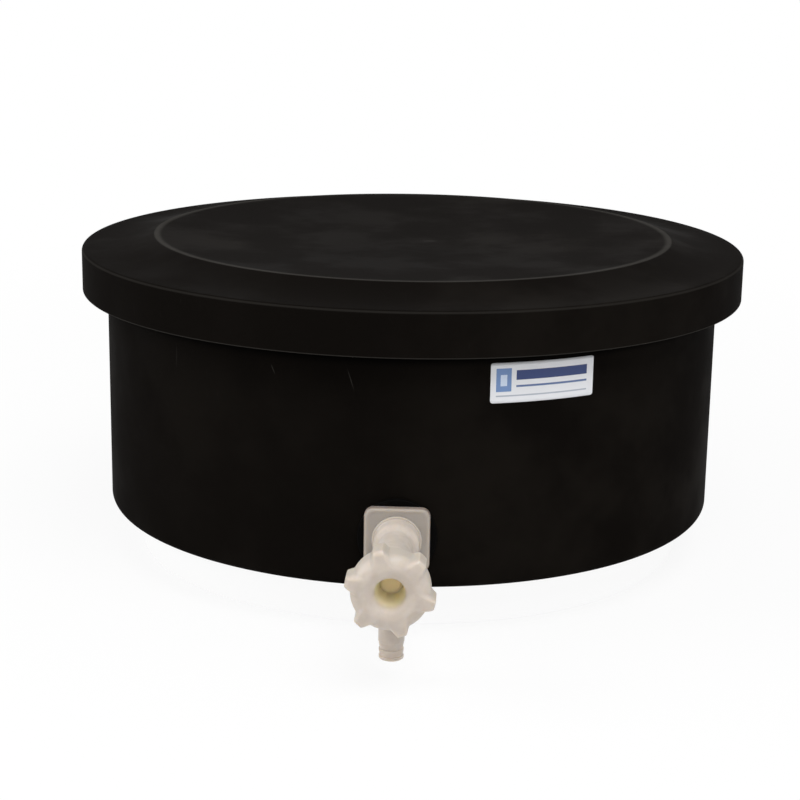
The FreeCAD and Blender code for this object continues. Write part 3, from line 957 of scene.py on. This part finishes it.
# %% Flange: rounded squares of changing size, stacked from the back to the front
def rounded_square(half_width, corner, per_corner=14):
    """Corner centres at (h - c)(sign cos a, sign sin a), and an arc c (cos a, sin a) round each."""
    quarter = np.linspace(0, math.pi / 2, per_corner)
    angle = (quarter[None, :] + np.arange(4)[:, None] * math.pi / 2).reshape(-1)
    middle = (np.arange(4) * math.pi / 2 + math.pi / 4).repeat(per_corner)
    x = (half_width - corner) * np.sign(np.cos(middle)) + corner * np.cos(angle)
    y = (half_width - corner) * np.sign(np.sin(middle)) + corner * np.sin(angle)
    return x, y


def flange_grid():
    half = FLANGE_WIDTH / 2
    profile = rounded_line([
        (0, FLANGE_BACK),
        (half, FLANGE_BACK, FLANGE_BACK_ROUND),
        (half, FLANGE_RIM_FRONT, FLANGE_EDGE_ROUND),
        (half - FLANGE_RIM_TOP, FLANGE_RIM_FRONT, FLANGE_RIM_ROUND),
        (half - FLANGE_RIM_WIDTH, FLANGE_FACE, FLANGE_FOOT_ROUND),
        (0, FLANGE_FACE),
    ])
    rows = []
    for width, outwards in filled_in(profile, FLANGE_STEP):
        x, y = rounded_square(width, FLANGE_CORNER * width / half)
        rows.append(np.stack([x, y, np.full_like(x, outwards)], axis=-1))
    return np.array(rows)


flange = skin("spigot_flange", on_wall(flange_grid()))
print("flange has", len(flange.data.vertices), "points")


# %% Outlet with its hose barb
def pointed_down(grid):
    """Turn a shape made along the third axis so that it points down from the barrel's axis."""
    return np.stack([grid[..., 0], -grid[..., 2], OUTLET + grid[..., 1]], axis=-1)


def outlet_outline():
    """Each tooth narrows towards the tip, so a hose slides on and its end catches on the step."""
    tip_crest = OUTLET_LENGTH - BARB_TIP_ROUND - BARB_LAND
    barb_start = tip_crest - (BARB_TEETH - 1) * BARB_PITCH
    corners = [
        (0, 0),
        (COLLAR_RADIUS, 0),
        (COLLAR_RADIUS, BARREL_RADIUS + COLLAR_STRAIGHT, COLLAR_ROUND),
        (OUTLET_RADIUS, BARREL_RADIUS + COLLAR_LENGTH, OUTLET_FILLET),
        (OUTLET_RADIUS, barb_start, BARB_ROUND),
    ]
    for tooth in range(BARB_TEETH - 1):
        crest = barb_start + tooth * BARB_PITCH
        corners.append((BARB_CREST_RADIUS, crest + BARB_STEP, BARB_EDGE))
        corners.append((BARB_CREST_RADIUS, crest + BARB_LAND, BARB_ROUND))
        corners.append((BARB_ROOT_RADIUS, crest + BARB_PITCH, BARB_EDGE))
    corners.append((BARB_CREST_RADIUS, tip_crest + BARB_STEP, BARB_EDGE))
    corners.append((BARB_CREST_RADIUS, OUTLET_LENGTH, BARB_TIP_ROUND))
    corners.append((0, OUTLET_LENGTH))
    return filled_in(rounded_line(corners), OUTLET_STEP)


outlet = skin("spigot_outlet", on_wall(pointed_down(turned(outlet_outline(), OUTLET_COLUMNS))))
print("outlet has", len(outlet.data.vertices), "points")


# %% Passages, then the whole moulding
def passage_outline():
    """Inlet bore, bevelled seat and chamber, both ends a little beyond the moulding."""
    return np.array([
        (0, SHANK_END - MM),
        (INLET_BORE_RADIUS, SHANK_END - MM),
        (INLET_BORE_RADIUS, SEAT),
        (INLET_BORE_RADIUS + SEAT_DEPTH, SEAT + SEAT_DEPTH),
        (CHAMBER_RADIUS, SEAT + SEAT_DEPTH),
        (CHAMBER_RADIUS, BARREL_END + MM),
        (0, BARREL_END + MM),
    ])


def outlet_bore_outline():
    wide_radius = OUTLET_BORE_RADIUS + OUTLET_BORE_CHAMFER
    return np.array([
        (0, 0),
        (OUTLET_BORE_RADIUS, 0),
        (OUTLET_BORE_RADIUS, OUTLET_LENGTH - OUTLET_BORE_CHAMFER),
        (wide_radius, OUTLET_LENGTH),
        (wide_radius, OUTLET_LENGTH + MM),
        (0, OUTLET_LENGTH + MM),
    ])


passages = skin("passages", on_wall(turned(passage_outline(), PASSAGE_COLUMNS)))
outlet_bore_grid = turned(outlet_bore_outline(), OUTLET_BORE_COLUMNS)
outlet_bore = skin("outlet_bore", on_wall(pointed_down(outlet_bore_grid)))
spigot = combined(trunk, [flange, outlet], "UNION")
spigot = combined(spigot, [passages, outlet_bore], "DIFFERENCE")
spigot.name = "spigot_moulding"
finish_piece(spigot, white_plastic, "tank", sharp_angle=28)
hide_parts("spigot_body")

# %% [markdown]
# ## The knob
#
# The knob is a dome with six grip ribs outside, and a deep recess, a threaded hub and a hollow
# plug inside, all one moulding. Two outlines are drawn with matching stations: one through the
# plain dome, one through the middle of a rib. Round the axis the surface blends from one to
# the other with a weight that is 1 on a rib and 0 between ribs. The weight depends on the
# distance to the side of the rib's middle, r sin(a). A rib is a wedge that narrows outwards, and
# the blend's width is the draft of its flanks: wide in front, where a rib fades into the dome,
# and narrower on the side. Columns are packed closer at the flanks.

# %% Sizes of the knob
KNOB_BACK = 93.5 * MM
KNOB_FRONT = 112.7 * MM
RIM_RADIUS = 25.0 * MM
SHOULDER_RADIUS = 24.7 * MM
SHOULDER_ROUND = 8.6 * MM
CREST_RADIUS = 16.0 * MM
CREST_ROUND = 6.0 * MM
MOUTH_RADIUS = 10.0 * MM
MOUTH = 110.3 * MM
MOUTH_ROUND = 5.0 * MM
RECESS_END = 89.4 * MM
RECESS_END_RADIUS = 7.4 * MM
FLOOR_RADIUS = 5.9 * MM
GROOVE_DEPTH = 1.2 * MM
GLOW_DEPTH = 9.0 * MM
MOUTH_STATIONS = 8
RIM_ROUND = 0.8 * MM
SKIN_WALL = 3.0 * MM
POCKET_FLOOR = 102.0 * MM
HUB_RADIUS = 17.55 * MM
HUB_BORE_RADIUS = 14.85 * MM
HUB_BACK = 92.0 * MM
INSIDE_END = 105.0 * MM
RIB_COUNT = 6
RIB_FIRST_ANGLE = math.radians(46)
RIB_TIP_RADIUS = 28.4 * MM
RIB_TIP = 111.0 * MM
RIB_TIP_ROUND = 3.0 * MM
RIB_TIP_WIDTH = 8.4 * MM
RIB_ROOT_RADIUS = 17.0 * MM
RIB_ROOT_WIDTH = 10.0 * MM
RIB_CREST = 112.4 * MM
RIB_FRONT_DRAFT = 3.8 * MM
RIB_SIDE_DRAFT = 3.2 * MM
FRONT_REACH = 4.0 * MM
FLANK_ANGLE = math.radians(8.2)
FLANK_SPREAD = math.radians(3)
FLANK_PACKING = 3
WEIGHT_ROUNDS = 3
PISTON_RADIUS = 11.0 * MM
PISTON_START = 85.0 * MM
GROOVE_RADIUS = 8.5 * MM
GROOVE = (86.0 * MM, 89.2 * MM)
STEM_RADIUS = 8.0 * MM
PLUG_NOSE_RADIUS = 6.576 * MM
PLUG_NOSE_END = 61.42 * MM


# %% Outlines of the knob
GRIP_STATIONS = (34, 30, 10)


def resampled(line, count):
    """The same line with count points at equal distances along it."""
    reach = np.concatenate([[0], np.cumsum(np.linalg.norm(np.diff(line, axis=0), axis=1))])
    places = np.linspace(0, reach[-1], count)
    return np.stack([np.interp(places, reach, line[:, k]) for k in (0, 1)], axis=1)


def grip_outline(crest, tip_radius, tip, tip_round):
    """From the mouth over the crest and a corner, the shoulder or a rib's tip, to the inner rim."""
    line = rounded_line([
        (RECESS_END_RADIUS, RECESS_END),
        (MOUTH_RADIUS, MOUTH, MOUTH_ROUND),
        (CREST_RADIUS, crest, CREST_ROUND),
        (tip_radius, tip, tip_round),
        (max(tip_radius, RIM_RADIUS), KNOB_BACK, RIM_ROUND),
        (RIM_RADIUS - SKIN_WALL, KNOB_BACK),
    ])[1:]
    corner = np.argmin(np.hypot(line[:, 0] - tip_radius, line[:, 1] - tip))
    back = len(line) - 2
    parts = [line[:corner + 1], line[corner:back + 1], line[back:]]
    runs = [resampled(part, count) for part, count in zip(parts, GRIP_STATIONS)]
    return np.vstack([runs[0], runs[1][1:], runs[2][1:]])


def recess_outline(mouth_start):
    """From the middle of the recess's floor over the narrow groove round it to the mouth."""
    return filled_in(rounded_line([
        (0, RECESS_END),
        (FLOOR_RADIUS, RECESS_END, 0.4 * MM),
        (FLOOR_RADIUS, RECESS_END - GROOVE_DEPTH, 0.2 * MM),
        (RECESS_END_RADIUS, RECESS_END - GROOVE_DEPTH, 0.4 * MM),
        (RECESS_END_RADIUS, RECESS_END, 0.1 * MM),
        (mouth_start[0], mouth_start[1]),
    ]), 1.5 * MM)[:-1]


def hidden_outline():
    """Pocket, hub, thread bore, piston with its groove, stem and nose, back to the axis."""
    return filled_in(rounded_line([
        (RIM_RADIUS - SKIN_WALL, KNOB_BACK + 0.4 * MM),
        (SHOULDER_RADIUS - SKIN_WALL, POCKET_FLOOR, 0.8 * MM),
        (HUB_RADIUS, POCKET_FLOOR, 0.5 * MM),
        (HUB_RADIUS, HUB_BACK, 0.4 * MM),
        (HUB_BORE_RADIUS, HUB_BACK, 0.4 * MM),
        (HUB_BORE_RADIUS, INSIDE_END, 0.3 * MM),
        (PISTON_RADIUS, INSIDE_END, 0.3 * MM),
        (PISTON_RADIUS, GROOVE[1], 0.15 * MM),
        (GROOVE_RADIUS, GROOVE[1], 0.15 * MM),
        (GROOVE_RADIUS, GROOVE[0], 0.15 * MM),
        (PISTON_RADIUS, GROOVE[0], 0.15 * MM),
        (PISTON_RADIUS, PISTON_START, 0.2 * MM),
        (STEM_RADIUS, PISTON_START, 0.4 * MM),
        (STEM_RADIUS, PLUG_NOSE_END, 0.2 * MM),
        (PLUG_NOSE_RADIUS, SEAT, 0.2 * MM),
        (0, SEAT),
    ], arc_step=math.radians(15)), 4 * MM)


# %% Knob surface
KNOB_COLUMNS = 408


def packed_angles(columns):
    """Angles round the knob, closer together where the ribs' flanks are."""
    fine = np.linspace(0, 2 * math.pi, 20001)
    from_rib = np.abs((fine - RIB_FIRST_ANGLE + math.pi / RIB_COUNT) % (2 * math.pi / RIB_COUNT)
                      - math.pi / RIB_COUNT)
    density = 1 + FLANK_PACKING * np.exp(-((from_rib - FLANK_ANGLE) / FLANK_SPREAD)**2)
    total = np.concatenate([[0], np.cumsum((density[1:] + density[:-1]) / 2)])
    return np.interp(np.arange(columns) / columns * total[-1], total, fine)


def rib_weight(radius, angle, draft):
    """1 on a rib, 0 between ribs, eased by 3t^2 - 2t^3 across the flank of a wedge."""
    step = 2 * math.pi / RIB_COUNT
    from_rib = (angle - RIB_FIRST_ANGLE + step / 2) % step - step / 2
    aside = np.abs(radius * np.sin(from_rib))
    along = (radius - RIB_ROOT_RADIUS) / (RIB_TIP_RADIUS - RIB_ROOT_RADIUS)
    half_width = (RIB_ROOT_WIDTH + along * (RIB_TIP_WIDTH - RIB_ROOT_WIDTH)) / 2
    t = np.clip((half_width + draft / 2 - aside) / draft, 0, 1)
    return t * t * (3 - 2 * t)


def knob_grid(columns):
    """Points of the knob, and how deep in the recess each station lies, 0 to 1.

    A rib's width is measured at the blended radius, so the weight is found in a few rounds.
    """
    angle = packed_angles(columns)
    dome = grip_outline(KNOB_FRONT, SHOULDER_RADIUS, KNOB_SHOULDER, SHOULDER_ROUND)[:, None, :]
    rib = grip_outline(RIB_CREST, RIB_TIP_RADIUS, RIB_TIP, RIB_TIP_ROUND)[:, None, :]
    frontness = np.clip((dome[..., 1] - KNOB_SHOULDER) / FRONT_REACH + 1, 0, 1)
    draft = RIB_SIDE_DRAFT + frontness * (RIB_FRONT_DRAFT - RIB_SIDE_DRAFT)
    weight = rib_weight(dome[..., 0], angle, draft)
    for _ in range(WEIGHT_ROUNDS):
        radius = dome[..., 0] + weight * (rib[..., 0] - dome[..., 0])
        weight = rib_weight(radius, angle, draft)
    grip = dome + weight[..., None] * (rib - dome)
    recess = np.repeat(recess_outline(dome[0, 0])[:, None, :], columns, axis=1)
    hidden = np.repeat(hidden_outline()[:, None, :], columns, axis=1)
    line = np.concatenate([recess, grip, hidden])
    radius, outwards = line[..., 0], line[..., 1]
    points = np.stack([radius * np.cos(angle), radius * np.sin(angle), outwards], axis=-1)
    inside = np.arange(len(line)) < len(recess) + MOUTH_STATIONS
    depth = np.clip((MOUTH - line[:, 0, 1]) / GLOW_DEPTH, 0, 1)
    return points, depth * depth * (3 - 2 * depth) * inside


knob_points, row_depth = knob_grid(KNOB_COLUMNS)
knob = skin("knob_moulding", on_wall(knob_points))
# The recess attribute paints the yellowish glow of light in the recess: painted light, fullest at
# its bottom.
painted_glow_share = np.zeros(len(knob.data.vertices))
painted_glow_share[:-2] = np.repeat(row_depth[1:-1], KNOB_COLUMNS)
painted_glow_share[-2] = 1.0
knob.data.attributes.new("recess", "FLOAT", "POINT").data.foreach_set("value", painted_glow_share)
finish_piece(knob, white_plastic, "knob")
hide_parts("knob")

# %% [markdown]
# ## Pieces that keep their measured solids
#
# The inner gasket, the lock nut and the ring seal are plain shapes inside the tank and the
# spigot. Their solids are right as they are and only get their finish.

# %% Finish of the inside pieces
inside_finishes = {"inner_gasket": rubber, "lock_nut": white_plastic, "stem_o_ring": rubber}
for node_name, finish in inside_finishes.items():
    for material_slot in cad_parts[node_name].material_slots:
        material_slot.material = finish
print("inside pieces finished")

# %% [markdown]
# ## The studio
#
# The tank stands on a low round stand that ends inside its wall, so the hose barb, which
# reaches below the base, hangs free. The floor and the stand are pale. For rays from the
# camera, and for reflections, most of their colour is plain white of strength 1, and the rest
# is lit, so the soft shadow stays visible on a white ground. Away from the tank the lit share
# runs out, so the floor ends in no horizon.

# %% Studio surfaces
STAND_RADIUS = 205.0 * MM
STAND_HEIGHT = 34.0 * MM
STAND_ROUND = 1.5 * MM
STAND_COLUMNS = 256
GROUND_SIZE = 12.0
WHITE_SHARE = 0.90
SHADOW_REACH = (0.35, 1.30)


def studio_white():
    """Lit a little near the tank, where its shadow falls, and plain white further off."""
    material, tree, shader = new_finish("studio_white")
    tree.nodes.remove(shader)
    diffuse = joined(tree, "ShaderNodeBsdfDiffuse", inputs={"Color": (0.86, 0.86, 0.86, 1)})
    glow = joined(tree, "ShaderNodeEmission", inputs={"Color": (1, 1, 1, 1), "Strength": 1.0})
    distance = length_of(tree, object_place(tree))
    white_share = stretched(tree, distance, *SHADOW_REACH, WHITE_SHARE, 1.0)
    share = times(tree, seen_directly(tree), white_share)
    inputs = {0: share, 1: diffuse.outputs[0], 2: glow.outputs[0]}
    mix = joined(tree, "ShaderNodeMixShader", inputs=inputs)
    tree.links.new(mix.outputs[0], tree.nodes["Material Output"].inputs["Surface"])
    return material


studio = studio_white()
stand_line = rounded_line([
    (0, 0),
    (STAND_RADIUS, 0, STAND_ROUND),
    (STAND_RADIUS, -STAND_HEIGHT, STAND_ROUND),
    (0, -STAND_HEIGHT),
])
stand = skin("stand", turned(stand_line, STAND_COLUMNS))
half = GROUND_SIZE / 2
ground_corners = np.array([(-half, -half, 0), (half, -half, 0), (half, half, 0), (-half, half, 0)])
ground = add_piece("ground", ground_corners - np.array([0, 0, STAND_HEIGHT]), [[0, 1, 2, 3]])
for stage_piece in (stand, ground):
    stage_piece.data.materials.append(studio)
stand.data.shade_smooth()
stand.data.set_sharp_from_angle(angle=math.radians(30))
print("stand top at", round(max(corner[2] for corner in stand.bound_box), 4))

# %% [markdown]
# ## Light
#
# Soft light at a plain level: the world fills from all round, a large lamp above and in front
# models the spigot, and a second from the left draws the pale line along the edge of the cover,
# which a painted highlight line there strengthens.

# %% World and lamps: place, size and power of each lamp
WORLD_FILL = 0.55
LAMP_TARGET = (0, 0, 0.1)
LAMPS = {
    "key_lamp": ((0.5, -1.2, 2.0), 1.4, 32),
    "left_lamp": ((-1.8, -0.4, 1.1), 1.0, 15),
}


def make_world():
    world = bpy.data.worlds.new("studio")
    bpy.context.scene.world = world
    world.use_nodes = True
    tree = world.node_tree
    strength = stretched(tree, seen_directly(tree), 0, 1, WORLD_FILL, 1.0, smooth=False)
    set_inputs(tree, tree.nodes["Background"], {"Color": (1, 1, 1, 1), "Strength": strength})


def add_lamp(name, place, size, power):
    lamp = bpy.data.objects.new(name, bpy.data.lights.new(name, "AREA"))
    bpy.context.scene.collection.objects.link(lamp)
    lamp.data.size = size
    lamp.data.energy = power
    lamp.location = place
    towards = Vector(LAMP_TARGET) - Vector(place)
    lamp.rotation_euler = towards.to_track_quat("-Z", "Y").to_euler()


make_world()
for lamp_name, (lamp_place, lamp_size, lamp_power) in LAMPS.items():
    add_lamp(lamp_name, lamp_place, lamp_size, lamp_power)
print("lamps", sorted(LAMPS))
bpy.context.scene.view_settings.view_transform = "Standard"
